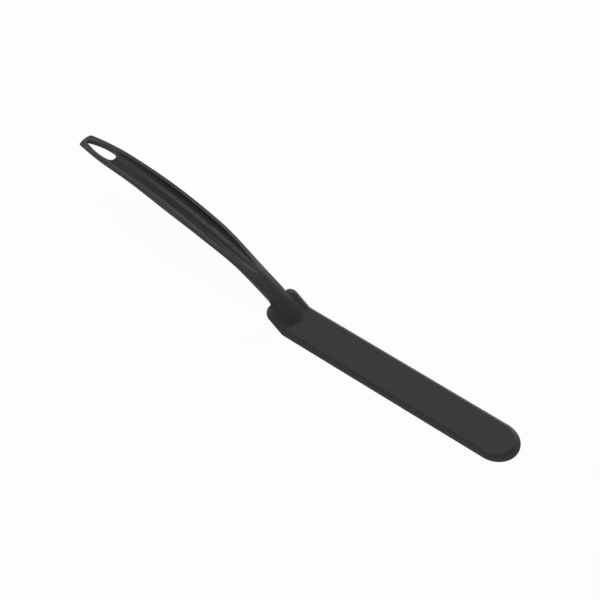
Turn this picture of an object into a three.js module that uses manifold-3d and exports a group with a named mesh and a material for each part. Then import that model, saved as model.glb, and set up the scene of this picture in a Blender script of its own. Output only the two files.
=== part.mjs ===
// A narrow black kitchen spatula: a long flat blade with a turned-up heel, an arched handle that is
// moulded over the blade's tang, and a grained soft insert in the handle's scooped top.
// Millimetres, +Z up, +X towards the tip of the blade, +Y across it.
// The origin is the middle of the blade's flat underside.

import * as THREE from 'three';
import { mergeVertices } from 'three/addons/utils/BufferGeometryUtils.js';
import Module from 'manifold-3d';

const { degToRad, lerp, smoothstep } = THREE.MathUtils;

// Blade: a flat plate with a hollowed bevel all round, which widens towards the round tip
const bladeLength = 160.6;
const bladeWidth = 28;
const bladeThickness = 3.8;
const bladeEdge = 1;
const edgeChamfer = 0.3;
const bevelWidth = 2.8;
const bevelHollow = 0.25;
const tipLength = 15;
const tipBevel = 4;

// Heel: the back of the plate, turned up at a crisp bend
const heelAngle = degToRad(36.5);
const heelLength = 17.8;
const heelCorner = 6;
const bendRadius = 0.8;

// Tang: the tongue that runs from the heel up into the handle's neck, with a window that locks it
const tangLength = 24;
const tangWidth = 7.4;
const tangThickness = 2.4;
const tangDepth = 3.1;
const tangRoot = 6;
const tangWindow = 4;
const tangWindowFromEnd = 9;

// Handle: one arch from the nose on the blade to the hanging end, flatter along its tail.
// Places are measured along the arch from the bend.
const archRadius = 261;
const tailRadius = 565;
const handleLength = 186.7;
const neckRise = 2.2;
const noseReach = 1.5;
const noseSlope = 4.5;
const noseDrop = 1.6;
const neckWidth = 12.3;
const neckSide = 4.1;
const neckBelly = 1.8;
const neckCrown = 1.9;
const neckLength = 32;
const shoulderAt = 60;
const shoulderSide = 1.2;
const shoulderBelly = 5;
const gripStart = 80;
const gripMiddle = 108;
const gripWidth = 17.5;
const gripSide = 3.8;
const gripBelly = 4.4;
const rimCrown = 0.6;
const gripEndWidth = 17;
const tailLength = 37;
const tailWidth = 10.8;
const tailSide = 0.3;
const tailBelly = 2.6;
const tailCrown = 1.3;
const tailBulge = 0.8;

// Hanging slot: a leaf, round towards the scoop and drawn out to a narrow tip,
// from where a ramp runs up to the handle's end
const slotLength = 23.8;
const slotWidth = 9.4;
const slotRound = 5;
const slotFullness = 0.48;
const slotFromEnd = 2.8;
const slotSide = 0.9;
const slotBelly = 5;
const rampWidth = 1.3;
const rampDepth = 2.8;
const rampFromEnd = 0.4;

// Scoop: the spoon-shaped hollow along the handle's top
const scoopStart = 38;
const scoopLead = 29;
const scoopRamp = 52;
const scoopDepth = 4.6;
const scoopEndDepth = 2.7;
const scoopRim = 2.65;
const scoopFullness = 2.2;
const scoopWall = 0.6;

// Insert: the grained liner of the scoop, thick along its middle and thin at its edge
const insertThickness = 1.1;
const insertEdge = 0.4;
const insertLead = 0.8;
const slotLand = 1.6;

// Clearance between pieces that touch
const clearance = 0.3;

// Facets
const arcSteps = 10;
const bendSteps = 4;
const bevelSteps = 4;
const crownSteps = 3;
const bellySteps = 6;
const scoopSteps = 7;
const noseSteps = 5;
const stationSpacing = 3.5;

// Places worked out from the sizes above
const tangEnd = heelLength + tangLength;
const slotEnd = handleLength - slotFromEnd;
const slotStart = slotEnd - slotLength;
const insertStart = scoopStart + insertLead;
const insertEnd = slotStart - slotLand;
const tailStart = handleLength - tailLength;

// The solids' joining and cutting
const wasm = await Module();
wasm.setup();

// A smooth run through [place, value] pairs, level at each pair and outside them
function smoothRun(place, pairs) {
  let value = pairs[0][1];
  for (let i = 1; i < pairs.length; i += 1) {
    const [from] = pairs[i - 1];
    const [to, next] = pairs[i];
    value = lerp(value, next, smoothstep(place, from, to));
  }
  return value;
}

// Evenly spaced places from one value to another, both included
function spread(from, to, steps) {
  return Array.from({ length: steps + 1 }, (_, i) => lerp(from, to, i / steps));
}

// A closed body through rings of points. The end faces join point i of a ring to point n - i,
// so a ring starts at one of its two far ends.
function loft(rings) {
  const count = rings[0].length;
  const positions = rings.flat().flatMap((point) => point.toArray());
  const faces = [];
  for (let ring = 0; ring < rings.length - 1; ring += 1) {
    for (let i = 0; i < count; i += 1) {
      const a = ring * count + i;
      const b = ring * count + ((i + 1) % count);
      faces.push(a, b, b + count, a, b + count, a + count);
    }
  }
  const last = (rings.length - 1) * count;
  for (let i = 0; i < count / 2; i += 1) {
    const a = i;
    const b = i + 1;
    const aFacing = (count - a) % count;
    const bFacing = count - b;
    if (a !== aFacing) {
      faces.push(a, aFacing, b);
      faces.push(last + a, last + b, last + aFacing);
    }
    if (b !== bFacing) {
      faces.push(b, aFacing, bFacing);
      faces.push(last + b, last + bFacing, last + aFacing);
    }
  }
  const geometry = new THREE.BufferGeometry();
  geometry.setAttribute('position', new THREE.Float32BufferAttribute(positions, 3));
  geometry.setIndex(enclosedVolume(rings.flat(), faces) > 0 ? faces : faces.reverse());
  return geometry;
}

// Positive where the faces point outwards
function enclosedVolume(points, faces) {
  const normal = new THREE.Vector3();
  let volume = 0;
  for (let i = 0; i < faces.length; i += 3) {
    const [a, b, c] = faces.slice(i, i + 3).map((index) => points[index]);
    volume += normal.crossVectors(a, b).dot(c) / 6;
  }
  return volume;
}

function toSolid(geometry) {
  const bare = geometry.clone();
  bare.deleteAttribute('normal');
  bare.deleteAttribute('uv');
  const merged = mergeVertices(bare);
  return new wasm.Manifold(
    new wasm.Mesh({
      numProp: 3,
      vertProperties: new Float32Array(merged.attributes.position.array),
      triVerts: new Uint32Array(merged.index.array),
    }),
  );
}

function toGeometry(solid) {
  const mesh = solid.getMesh();
  const geometry = new THREE.BufferGeometry();
  geometry.setAttribute('position', new THREE.BufferAttribute(mesh.vertProperties, 3));
  geometry.setIndex(new THREE.BufferAttribute(mesh.triVerts, 1));
  geometry.computeVertexNormals();
  return geometry;
}

// Blade and heel

// The plate is laid out flat and its back is then rolled up around the bend
function bendHeel(x, y, z) {
  if (x >= 0) {
    return new THREE.Vector3(x, y, z);
  }
  const angle = Math.min(-x / bendRadius, heelAngle);
  const beyond = -x - bendRadius * angle;
  const radius = bendRadius + bladeThickness - z;
  return new THREE.Vector3(
    -radius * Math.sin(angle) - beyond * Math.cos(angle),
    y,
    bladeThickness + bendRadius - radius * Math.cos(angle) + beyond * Math.sin(angle),
  );
}

// The flat plate's outline, drawn in by an inset, from the heel's middle round by the tip
function plateOutline(inset) {
  const half = bladeWidth / 2;
  const cornerX = heelCorner - heelLength;
  const cornerY = half - heelCorner;
  const side = [[inset - heelLength, 0]];
  for (const turn of spread(0, Math.PI / 2, arcSteps)) {
    const radius = heelCorner - inset;
    side.push([cornerX - radius * Math.cos(turn), cornerY + radius * Math.sin(turn)]);
  }
  for (const x of spread(-bendRadius * heelAngle, 0, bendSteps)) {
    side.push([x, half - inset]);
  }
  const tipStart = bladeLength - tipLength;
  const tipReach = tipLength - inset * (tipBevel / bevelWidth);
  for (const turn of spread(Math.PI / 2, 0, arcSteps)) {
    const y = turn === 0 ? 0 : (half - inset) * Math.sin(turn);
    side.push([tipStart + tipReach * Math.cos(turn), y]);
  }
  const back = side.slice(1, -1).reverse();
  return [...side, ...back.map(([x, y]) => [x, -y])];
}

// The plate as layers of [inset, height], from its underside up over the bevel
function plate() {
  const foot = [
    [edgeChamfer, 0],
    [0, edgeChamfer],
  ];
  return plateLayers([...foot, ...bevelLayers(0)]);
}

// The room that the plate takes out of the handle: grown by the clearance and open below
function plateRoom() {
  return plateLayers([[-clearance, -bladeThickness], ...bevelLayers(clearance)]);
}

function bevelLayers(margin) {
  return spread(0, 1, bevelSteps).map((part) => {
    const rise = part - bevelHollow * Math.sin(part * Math.PI);
    return [bevelWidth * part - margin, lerp(bladeEdge, bladeThickness, rise) + margin];
  });
}

function plateLayers(layers) {
  return loft(layers.map(([inset, z]) => plateOutline(inset).map(([x, y]) => bendHeel(x, y, z))));
}

// Handle

const archStart = new THREE.Vector2(Math.sin(heelAngle), Math.cos(heelAngle)).multiplyScalar(neckRise);
const archCentre = new THREE.Vector2(
  archStart.x - archRadius * Math.sin(heelAngle),
  bladeThickness + archStart.y - archRadius * Math.cos(heelAngle),
);

// The tail carries on from the arch along a flatter curve
const tailSlope = heelAngle - tailStart / archRadius;
const tailCentre = new THREE.Vector2(Math.sin(tailSlope), Math.cos(tailSlope))
  .multiplyScalar(archRadius - tailRadius)
  .add(archCentre);

// A point at a place along the arch, off to one side, and above or below the line of the handle's edges
function archPoint(place, y, above) {
  const onTail = place > tailStart;
  const slope = onTail ? tailSlope - (place - tailStart) / tailRadius : heelAngle - place / archRadius;
  const centre = onTail ? tailCentre : archCentre;
  const radius = above + (onTail ? tailRadius : archRadius);
  return new THREE.Vector3(centre.x + radius * Math.sin(slope), y, centre.y + radius * Math.cos(slope));
}

function noseFade(place) {
  const out = Math.min(Math.max(-place / noseReach, 0), 1);
  return Math.sqrt(1 - out * out);
}

function halfWidth(place) {
  const width = smoothRun(place, [
    [neckLength, neckWidth],
    [gripStart, gripWidth],
    [gripMiddle, gripWidth],
    [tailStart, gripEndWidth],
  ]);
  const alongTail = Math.max(place - tailStart, 0) / tailLength;
  const taper = (gripEndWidth - tailWidth) * alongTail * alongTail;
  return ((width - taper) / 2) * noseFade(place);
}

function sideHeight(place) {
  return smoothRun(place, [
    [neckLength, neckSide],
    [shoulderAt, shoulderSide],
    [gripMiddle, gripSide],
    [slotStart, slotSide],
    [handleLength, tailSide],
  ]);
}

function bellyDepth(place) {
  return smoothRun(place, [
    [neckLength, neckBelly],
    [shoulderAt, shoulderBelly],
    [gripMiddle, gripBelly],
    [slotStart, slotBelly],
    [handleLength, tailBelly],
  ]);
}

// Height of the handle's crowned top above the line of its edges, falling away at the nose
function topHeight(place, y) {
  const crown = smoothRun(place, [
    [neckLength, neckCrown],
    [shoulderAt, rimCrown],
    [tailStart, rimCrown],
    [slotStart + slotRound, tailCrown],
    [handleLength, rimCrown],
  ]);
  const across = y / halfWidth(place);
  const down = Math.min(Math.max((noseSlope - place) / (noseSlope + noseReach), 0), 1);
  return crown * noseFade(place) * (1 - across * across) - noseDrop * down * down;
}

// One cross-section of the handle: crowned top, straight sides and a half-oval belly
function handleRing(place) {
  const half = halfWidth(place);
  const side = sideHeight(place);
  const right = [];
  for (const part of spread(0, 1, crownSteps)) {
    right.push([half * part, topHeight(place, half * part)]);
  }
  for (const turn of spread(0, Math.PI / 2, bellySteps)) {
    const y = turn === Math.PI / 2 ? 0 : half * Math.cos(turn);
    right.push([y, -side - bellyDepth(place) * Math.sin(turn)]);
  }
  const left = right.slice(1, -1).reverse();
  const ring = [...right, ...left.map(([y, above]) => [-y, above])];
  const bulge = tailBulge * smoothstep(place, slotEnd - slotLength / 2, handleLength);
  return ring.map(([y, above]) => archPoint(place - bulge * (y / half) ** 2, y, above));
}

function handleBody() {
  const nose = spread(-Math.PI / 2, 0, noseSteps).slice(1, -1);
  const steps = Math.ceil((handleLength - noseSlope) / stationSpacing);
  const places = [
    ...nose.map((turn) => noseReach * Math.sin(turn)),
    ...spread(0, noseSlope, noseSteps),
    ...spread(noseSlope, handleLength, steps).slice(1),
  ];
  return loft(places.map(handleRing));
}

// Half width of the scoop: an oval front that opens to the grip with an even rim beside it,
// and a back that runs into the slot's sides
function scoopHalfWidth(place) {
  const before = Math.max(scoopStart + scoopLead - place, 0) / scoopLead;
  const open = (halfWidth(place) - scoopRim) * Math.sqrt(Math.max(1 - before * before, 0));
  return lerp(open, slotWidth / 2, smoothstep(place, tailStart, slotStart + slotRound));
}

function scoopFloor(place) {
  const before = Math.max(scoopStart + scoopRamp - place, 0) / scoopRamp;
  const full = smoothRun(place, [
    [gripMiddle, scoopDepth],
    [slotStart, scoopEndDepth],
  ]);
  return full * (1 - before * before);
}

// Half of a cross-section of the scoop's floor, from its edge to its middle
function scoopCurve(place, wider, deeper, steps) {
  const half = scoopHalfWidth(place) + wider;
  const floor = scoopFloor(place);
  const depth = floor + deeper * Math.min(1, floor / scoopEndDepth);
  return spread(0, Math.PI / 2, steps).map((turn) => {
    const across = turn === Math.PI / 2 ? 0 : Math.cos(turn);
    const hollow = depth * (1 - across ** scoopFullness) ** scoopWall;
    return [half * across, topHeight(place, half * across) - hollow];
  });
}

// The rest of a symmetric run of points, from its middle back out to the other edge
function otherHalf(half) {
  return half
    .slice(0, -1)
    .reverse()
    .map(([y, above]) => [-y, above]);
}

function scoopPlaces(start, end) {
  return spread(start, end, Math.ceil((end - start) / stationSpacing));
}

// A point of the scoop. Its cross-sections bow back at the sides as they near the slot,
// so the insert ends on a line that follows the slot's round front.
function scoopPoint(place, y, above) {
  const along = slotRound + slotLand;
  const across = Math.min(Math.abs(y) / (slotWidth / 2 + 2 * slotLand), 1);
  const bow = along * (1 - Math.sqrt(1 - across * across));
  return archPoint(place + bow * smoothstep(place, insertEnd - slotWidth, insertEnd), y, above);
}

// The scoop as a cutting body with an open lid, made wider at its edge and deeper by the given amounts
function scoopCut(start, end, wider, deeper) {
  const lidHeight = neckCrown + scoopDepth;
  return loft(
    scoopPlaces(start, end).map((place) => {
      const half = scoopCurve(place, wider, deeper, scoopSteps);
      const floor = [...half, ...otherHalf(half)];
      const lid = floor.map(([y]) => [y, lidHeight]).reverse();
      const lidHalf = half[0][0] + scoopRim / 2;
      const ring = [[lidHalf, lidHeight], ...floor, [-lidHalf, lidHeight], ...lid];
      return ring.map(([y, above]) => scoopPoint(place, y, above));
    }),
  );
}

// The insert: the scoop's floor above, the pocket's floor below, and a thin lip along the rim
function insertBody() {
  return loft(
    scoopPlaces(insertStart, insertEnd).map((place) => {
      const upper = scoopCurve(place, 0, 0, scoopSteps);
      const lower = scoopCurve(place, insertEdge, insertThickness, scoopSteps + 1);
      const overTop = [...upper, ...otherHalf(upper)];
      const [edge, ...underneath] = [...lower, ...otherHalf(lower)];
      const ring = [edge, ...overTop, ...underneath.reverse()];
      return ring.map(([y, above]) => scoopPoint(place, y, above));
    }),
  );
}

// The hanging slot's outline at a level: a half-oval front and sides that close in a curve on the tip
function slotRing(level) {
  const half = slotWidth / 2;
  const widest = slotStart + slotRound;
  const right = new THREE.Path();
  right.moveTo(slotStart, 0);
  right.absellipse(widest, 0, slotRound, half, Math.PI, Math.PI / 2, true);
  right.quadraticCurveTo(lerp(widest, slotEnd, slotFullness), half, slotEnd, rampWidth / 2);
  right.lineTo(slotEnd, 0);
  const points = right.getPoints(arcSteps).map((point) => [point.x, point.y]);
  const left = points.slice(1, -1).reverse();
  const ring = [...points, ...left.map(([place, y]) => [place, -y])];
  return ring.map(([place, y]) => archPoint(place, y, level));
}

function slotCut() {
  return loft([-slotSide - 2 * slotBelly, 2 * scoopDepth].map(slotRing));
}

// The groove whose floor runs up from the slot's tip to the handle's end
function rampRing(place, floor) {
  const half = rampWidth / 2;
  const top = 2 * scoopDepth;
  const right = [
    [0, floor],
    [half, floor],
    [half, top],
    [0, top],
  ];
  const left = right.slice(1, -1).reverse();
  return [...right, ...left.map(([y, above]) => [-y, above])].map(([y, above]) => archPoint(place, y, above));
}

function rampCut() {
  return loft([
    rampRing(slotEnd - rampWidth, -rampDepth),
    rampRing(slotEnd, -rampDepth),
    rampRing(handleLength - rampFromEnd, rimCrown),
  ]);
}

// Tang

// The tongue along the arch, grown by a margin for its socket
function tangBody(margin) {
  const start = heelLength - tangRoot;
  const halfAcross = tangWidth / 2 + margin;
  const upper = tangThickness / 2 - tangDepth + margin;
  const lower = -tangThickness / 2 - tangDepth - margin;
  const steps = Math.ceil((tangEnd - start) / stationSpacing);
  return loft(
    spread(start, tangEnd + margin, steps).map((place) => [
      archPoint(place, 0, upper),
      archPoint(place, halfAcross, upper),
      archPoint(place, halfAcross, lower),
      archPoint(place, 0, lower),
      archPoint(place, -halfAcross, lower),
      archPoint(place, -halfAcross, upper),
    ]),
  );
}

// The round window through the tang, drawn in by a margin for the key that fills it
function tangWindowPin(margin) {
  const pin = new THREE.CylinderGeometry(
    tangWindow / 2 - margin,
    tangWindow / 2 - margin,
    2 * (tangThickness + clearance),
    2 * arcSteps,
  );
  const place = tangEnd - tangWindowFromEnd;
  const slope = heelAngle - place / archRadius;
  const centre = archPoint(place, 0, -tangDepth);
  pin.rotateX(Math.PI / 2);
  pin.rotateY(slope);
  pin.translate(centre.x, centre.y, centre.z);
  return pin;
}

// Solids

const bladeSolid = toSolid(plate())
  .add(toSolid(tangBody(0)))
  .subtract(toSolid(tangWindowPin(0)));

const socket = toSolid(tangBody(clearance)).subtract(toSolid(tangWindowPin(clearance)));
const pocket = scoopCut(
  insertStart - clearance,
  insertEnd + clearance,
  insertEdge + clearance,
  insertThickness + clearance,
);
const handleSolid = toSolid(handleBody())
  .subtract(toSolid(plateRoom()))
  .subtract(socket)
  .subtract(toSolid(pocket))
  .subtract(toSolid(scoopCut(insertEnd, slotStart + slotRound, 0, 0)))
  .subtract(toSolid(slotCut()))
  .subtract(toSolid(rampCut()));

const insertSolid = toSolid(insertBody());

const nylon = new THREE.MeshStandardMaterial({ color: '#2b2c2e', roughness: 0.42, metalness: 0 });
const softGrip = new THREE.MeshStandardMaterial({ color: '#29292b', roughness: 0.7, metalness: 0 });

function piece(name, solid, material) {
  const mesh = new THREE.Mesh(toGeometry(solid), material.clone());
  mesh.name = name;
  return mesh;
}

const spatula = new THREE.Group();
spatula.add(piece('blade', bladeSolid, nylon));
spatula.add(piece('handle', handleSolid, nylon));
spatula.add(piece('grip_insert', insertSolid, softGrip));
spatula.position.x = -bladeLength / 2;

export default spatula;
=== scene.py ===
"""Looks of a narrow black nylon kitchen spatula: its blade, its arched handle, the grained grip
in the handle's scoop, and a plain white studio. Lengths are in metres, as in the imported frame.
"""

import math

import bmesh
import bpy
from bpy.props import FloatProperty, FloatVectorProperty, IntProperty, PointerProperty
from bpy.types import Operator, Panel, PropertyGroup
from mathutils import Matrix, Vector


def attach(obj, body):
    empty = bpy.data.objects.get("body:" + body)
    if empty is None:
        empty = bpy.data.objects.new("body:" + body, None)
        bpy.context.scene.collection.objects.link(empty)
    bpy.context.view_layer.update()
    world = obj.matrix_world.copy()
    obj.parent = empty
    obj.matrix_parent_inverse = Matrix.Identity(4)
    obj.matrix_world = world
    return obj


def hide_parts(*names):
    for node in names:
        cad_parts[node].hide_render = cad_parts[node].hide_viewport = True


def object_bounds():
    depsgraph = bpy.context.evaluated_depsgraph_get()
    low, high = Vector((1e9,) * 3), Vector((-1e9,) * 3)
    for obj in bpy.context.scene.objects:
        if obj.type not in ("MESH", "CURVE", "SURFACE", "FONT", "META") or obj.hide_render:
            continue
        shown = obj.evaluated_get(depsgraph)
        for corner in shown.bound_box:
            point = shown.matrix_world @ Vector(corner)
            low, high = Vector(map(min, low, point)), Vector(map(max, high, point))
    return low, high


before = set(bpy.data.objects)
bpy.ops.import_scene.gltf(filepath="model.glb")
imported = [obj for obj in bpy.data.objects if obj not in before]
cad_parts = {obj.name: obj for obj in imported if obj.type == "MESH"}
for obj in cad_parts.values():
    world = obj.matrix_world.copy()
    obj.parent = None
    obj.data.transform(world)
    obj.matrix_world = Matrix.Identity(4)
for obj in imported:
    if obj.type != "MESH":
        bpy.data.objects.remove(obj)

bl_info = {
    "name": "Nylon Spatula",
    "version": (1, 0, 0),
    "blender": (4, 5, 0),
    "location": "View3D > Sidebar > Spatula",
    "description": "Builds a narrow nylon spatula and its studio around the packed solids",
    "category": "Object",
}

MM = 0.001
CAD_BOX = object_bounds()
BODY = "root"
WHITE = (1.0, 1.0, 1.0, 1.0)

# How finely the round forms are divided
OUTLINE_STEPS = 24
BEND_STEPS = 8
SIDE_STEPS = 14
FILLET_STEPS = 4
BEVEL_STEPS = 10
BELLY_STEPS = 16
RIM_STEPS = 8
FLOOR_STEPS = 14
WALL_STEPS = 2
FOOT_STEPS = 6
NOSE_STEPS = 14
SLOT_STEPS = 34
SLOT_LEVELS = 3
END_STEPS = 8
GRIP_COLUMNS = 52

# Turn at the nose's first row, just short of the quarter turn at which the row would have no width
NOSE_TURN = -1.4
# Length of the scoop's front, where the rows lie closer
FRONT_LENGTH = 9 * MM
# Length of a step between two rows
STEP = 0.01 * MM
# Least height of the handle's top above the blade that it lies on
HAIR = 0.02 * MM
# Largest shares that a rounding takes of the form it rounds, and of the handle's side
LARGEST_ROUND = 0.25
SIDE_ROUND = 0.7
# Shares of the hanging end's section, in the rows that close it
END_SHARES = (0.75, 0.5, 0.25, 0.08)
# Rounds in which a row's edge is found
EDGE_ROUNDS = 4
# Angle between two faces from which their edge is shaded as sharp
SHARP_ANGLE = math.radians(38)

# How far the edges are scuffed paler, where 1 is the most, and how fast the painted highlight in the slot's
# valley rises with the valley's depth
LIP_WEAR = 0.1
EDGE_WEAR = 0.2
BEVEL_WEAR = 0.35
SIDE_WEAR = 0.6
VALLEY_HIGHLIGHT = 2

# Place, turn and sensor of the camera, fitted to the photo
CAMERA_PLACE = (0.22719, -0.39815, 0.63237)
CAMERA_TILT = math.radians(39.51)
CAMERA_TURN = math.radians(37.52)
SENSOR_WIDTH = 36.0


# Settings

def size(name, millimetres, description):
    """A length, given in millimetres."""
    return FloatProperty(
        name=name, description=description, default=millimetres * MM, min=0.0, unit="LENGTH", precision=5
    )


def share(name, value, description):
    """A share between 0 and 1."""
    return FloatProperty(
        name=name, description=description, default=value, min=0.0, max=1.0, subtype="FACTOR"
    )


def number(name, value, description):
    """A plain number."""
    return FloatProperty(name=name, description=description, default=value, min=0.0)


def colour(name, value, description):
    """A linear colour with its alpha."""
    return FloatVectorProperty(
        name=name, description=description, default=value, size=4, min=0.0, max=1.0, subtype="COLOR"
    )


class BladeSettings(PropertyGroup):
    length: size("Length", 160.6, "From the bend to the tip")
    width: size("Width", 28, "Across the blade")
    thickness: size("Thickness", 3.8, "Height of the blade's flat top")
    edge: size("Edge", 1, "Height of the blade's outer edge")
    edge_round: size("Edge rounding", 0.3, "Rounding of the outer edge")
    crest_round: size("Crest rounding", 0.25, "Rounding where the bevel meets the flat top")
    bevel_width: size("Bevel width", 2.8, "Width of the bevel along the sides")
    bevel_hollow: share("Bevel hollow", 0.17, "How far the bevel is hollowed, as a share of its rise")
    tip_length: size("Tip length", 15, "Length of the round tip")
    tip_bevel: size("Tip bevel", 4, "Width of the bevel at the tip")
    heel_angle: FloatProperty(
        name="Heel angle", description="How far the heel is turned up", default=math.radians(36.5),
        min=0.0, subtype="ANGLE",
    )
    heel_length: size("Heel length", 17.8, "From the bend to the heel's back edge")
    heel_corner: size("Heel corner", 6, "Radius of the heel's two corners")
    bend_radius: size("Bend radius", 0.8, "Radius inside the bend")


class HandleSettings(PropertyGroup):
    arch_radius: size("Arch radius", 261, "Radius of the arch along the handle's edges")
    tail_radius: size("Tail radius", 565, "Radius of the flatter arch of the tail")
    length: size("Length", 186.7, "Along the arch, from the bend to the hanging end")
    neck_rise: size("Neck rise", 2.2, "Height of the handle's edges above the heel")
    nose_reach: size("Nose reach", 2.2, "How far the nose lies over the flat blade")
    nose_round: size("Nose rounding", 1.2, "Where the nose's round end starts")
    nose_slope: size("Nose slope", 6, "Where the nose starts to fall away")
    nose_drop: size("Nose drop", 0.57, "How far the middle of the nose falls away")
    nose_fall: size("Nose fall", 2.5, "How far the sides of the nose fall away")
    nose_crown: size("Nose crown", 18, "Where the neck has its full crown")
    foot_spread: size("Foot spread", 1, "How far the neck's sides lean out where they stand on the heel")
    foot_lead: size("Foot lead", 0.75, "How far before the heel's edge the neck's sides start to turn")
    foot_fade: size("Foot fade", 3, "How far past the heel the neck's sides turn upright")
    foot_round: size("Foot rounding", 0.9, "Rounding of the neck's edges above the heel")
    foot_hollow: number("Foot hollow", 1.3, "How hollow the neck's leaning sides are, where 1 is straight")
    neck_width: size("Neck width", 12.3, "Width of the neck")
    neck_side: size("Neck side", 4.1, "Height of the neck's upright sides")
    neck_belly: size("Neck belly", 1.8, "Depth of the neck's round underside")
    neck_crown: size("Neck crown", 1.9, "How far the neck's top is crowned")
    neck_length: size("Neck length", 32, "Where the neck starts to widen")
    shoulder_at: size("Shoulder place", 60, "Where the sides are lowest")
    shoulder_side: size("Shoulder side", 1.2, "Height of the sides at the shoulder")
    shoulder_belly: size("Shoulder belly", 5, "Depth of the underside at the shoulder")
    grip_start: size("Grip start", 80, "Where the grip has its full width")
    grip_middle: size("Grip middle", 108, "Where the grip is deepest")
    grip_width: size("Grip width", 17.5, "Width of the grip")
    grip_side: size("Grip side", 3.8, "Height of the grip's sides")
    grip_belly: size("Grip belly", 4.4, "Depth of the grip's underside")
    rim_crown: size("Rim crown", 0.6, "How far the rims are crowned")
    grip_end_width: size("Grip end width", 17, "Width where the tail starts")
    tail_length: size("Tail length", 37, "Length of the tapering tail")
    tail_width: size("Tail width", 10.8, "Width of the hanging end")
    tail_side: size("Tail side", 0.3, "Height of the hanging end's sides")
    tail_belly: size("Tail belly", 2.6, "Depth of the hanging end's underside")
    tail_crown: size("Tail crown", 1.3, "How far the tail's top is crowned")
    tail_bulge: size("Tail bulge", 0.8, "How far the hanging end bulges")
    edge_round: size("Edge rounding", 1, "Rounding of the handle's outer edges")
    rim_slope: size("Rim slope", 0.1, "How far the rims beside the scoop fall towards their outer edges")
    rim_round: size("Rim rounding", 0.5, "Rounding of the rims' inner edges")
    # The line along the rims' inner edges is a painted highlight.
    highlight_line_width: size("Rubbed width", 0.4, "Width of the rubbed line along the rims' inner edges")
    wall_draft: size("Wall draft", 0.03, "How far the walls inside the rims lean in")
    seat_depth: size("Seat depth", 0.1, "How far the handle is let into the blade it lies on")


class SlotSettings(PropertyGroup):
    length: size("Length", 23.8, "Length of the hanging slot")
    width: size("Width", 9.4, "Width of the hanging slot")
    front: size("Front", 5, "Length of the slot's half-oval front")
    fullness: share("Fullness", 0.48, "How far the slot's sides stay apart before they close")
    from_end: size("From end", 2.8, "From the slot's tip to the hanging end")
    side: size("Side", 0.9, "Height of the handle's sides beside the slot")
    belly: size("Belly", 5, "Depth of the underside beside the slot")
    dip_depth: size("Dip depth", 1.3, "Depth of the shallow valley around the slot's tip")
    dip_reach: size("Dip reach", 3.3, "How far that valley reaches to each side")
    dip_run: size("Dip run", 3.8, "Length over which the valley rises towards the hanging end")
    dip_lead: size("Dip lead", 5, "How far that valley reaches along the slot")
    ramp_width: size("Ramp width", 1.3, "Width of the groove behind the slot's tip")
    ramp_depth: size("Ramp depth", 0.6, "Depth of that groove at the slot's tip")
    ramp_from_end: size("Ramp from end", 0.4, "From the groove's end to the hanging end")


class ScoopSettings(PropertyGroup):
    start: size("Start", 38, "Where the scoop starts")
    lead: size("Lead", 29, "Length of the scoop's oval front")
    ramp: size("Ramp", 52, "Length over which the scoop reaches its depth")
    depth: size("Depth", 4.6, "Depth of the scoop")
    end_depth: size("End depth", 2.7, "Depth of the scoop before the slot")
    rim: size("Rim", 2.8, "Width of the rims")
    fullness: number("Fullness", 2.2, "How flat the scoop's floor is")
    wall: number("Wall", 0.66, "How steep the scoop's walls are")


class GripSettings(PropertyGroup):
    lead: size("Lead", 0.8, "From the scoop's front to the grip's front")
    land: size("Land", 1.6, "From the grip's end to the slot")
    pocket: size("Pocket", 0.9, "Depth of the pocket that the grip lies in")
    fill: share("Fill", 0.75, "Thickness of the grip, as a share of its pocket's depth")
    gap: size("Gap", 0.03, "Gap between the grip and its pocket")
    spacing: size("Row spacing", 0.3, "Distance between the rows of the grip's mesh")
    grain_size: size("Grain size", 0.8, "Size of the grain")
    grain_height: size("Grain height", 0.16, "Height of the grain")
    grain_fade: size("Grain fade", 3, "Distance from the grip's edges over which the grain rises")
    grain_depth: size("Grain depth", 2, "Depth of the scoop from which the grain has its full height")
    grain_seed: IntProperty(name="Grain seed", description="Which grain is drawn", default=7, min=0)


class FinishSettings(PropertyGroup):
    nylon: colour("Nylon", (0.0200, 0.0205, 0.0215, 1.0), "Colour of the moulded nylon")
    # Paler nylon, for scuffed edges, and also for the painted highlights along the handle's rims and in the
    # slot's valley.
    nylon_worn_and_lit: colour("Worn nylon", (0.050, 0.051, 0.053, 1.0), "Colour of the nylon along its edges")
    nylon_gloss: share("Nylon gloss", 0.15, "How strongly the nylon mirrors the room")
    nylon_smooth: share("Smoothest nylon", 0.38, "Roughness of the smoothest nylon")
    nylon_dull: share("Dullest nylon", 0.45, "Roughness of the dullest nylon")
    cloud_size: size("Cloud size", 9, "Size of the clouds in the nylon's colour and wear")
    gloss_size: size("Gloss size", 1.6, "Size of the patches in the nylon's gloss")
    texture_size: size("Texture size", 0.22, "Size of the nylon's mould texture")
    texture_depth: size("Texture depth", 0.02, "Depth of the nylon's mould texture")
    grip: colour("Grip", (0.0070, 0.0070, 0.0075, 1.0), "Colour of the soft grip")
    grip_worn: colour("Worn grip", (0.0125, 0.0125, 0.013, 1.0), "Colour of the grip's high grain")
    grip_gloss: share("Grip gloss", 0.18, "How strongly the grip mirrors the room")
    grip_smooth: share("Smoothest grip", 0.36, "Roughness of the smoothest grip")
    grip_dull: share("Dullest grip", 0.5, "Roughness of the dullest grip")
    pebble_size: size("Pebble size", 0.55, "Size of the pebbles in the grip's finish")
    pebble_depth: size("Pebble depth", 0.05, "Depth of the pebbles in the grip's finish")


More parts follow.
